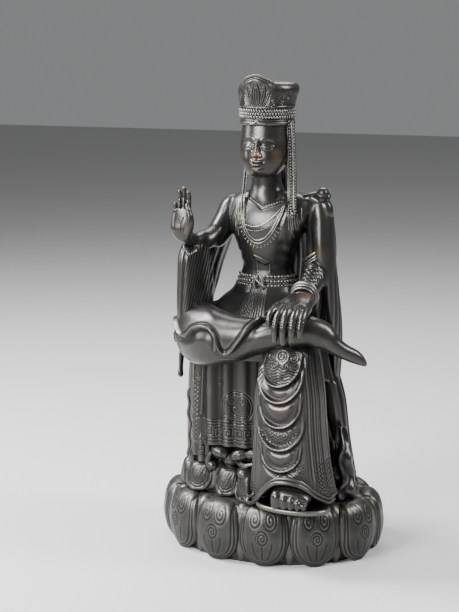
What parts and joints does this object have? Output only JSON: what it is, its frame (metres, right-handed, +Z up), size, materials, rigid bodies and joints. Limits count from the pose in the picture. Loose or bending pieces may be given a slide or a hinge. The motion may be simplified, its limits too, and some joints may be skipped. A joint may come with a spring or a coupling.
{
  "type": "guanyin figure",
  "caption": "Cast bronze Guanyin, one hand raised, seated with a leg folded over the other knee, on an oval lotus plinth.",
  "frame": {"origin": "middle of the plinth's flat underside", "axes": "+Z up; the figure looks along -Y; its left hand, on the folded leg, is at +X and its raised right hand at -X"},
  "size_m": [0.2274, 0.189, 0.4663],
  "materials": {
    "figure_bronze": "dark brown-black patina on cast bronze, worn bright on the high places",
    "plinth_bronze": "dark brown-black patina on cast bronze, duller than the figure"
  },
  "bodies": {
    "root": {"guanyin_figure": "figure_bronze", "lotus_plinth": "plinth_bronze"}
  },
  "joints": []
}
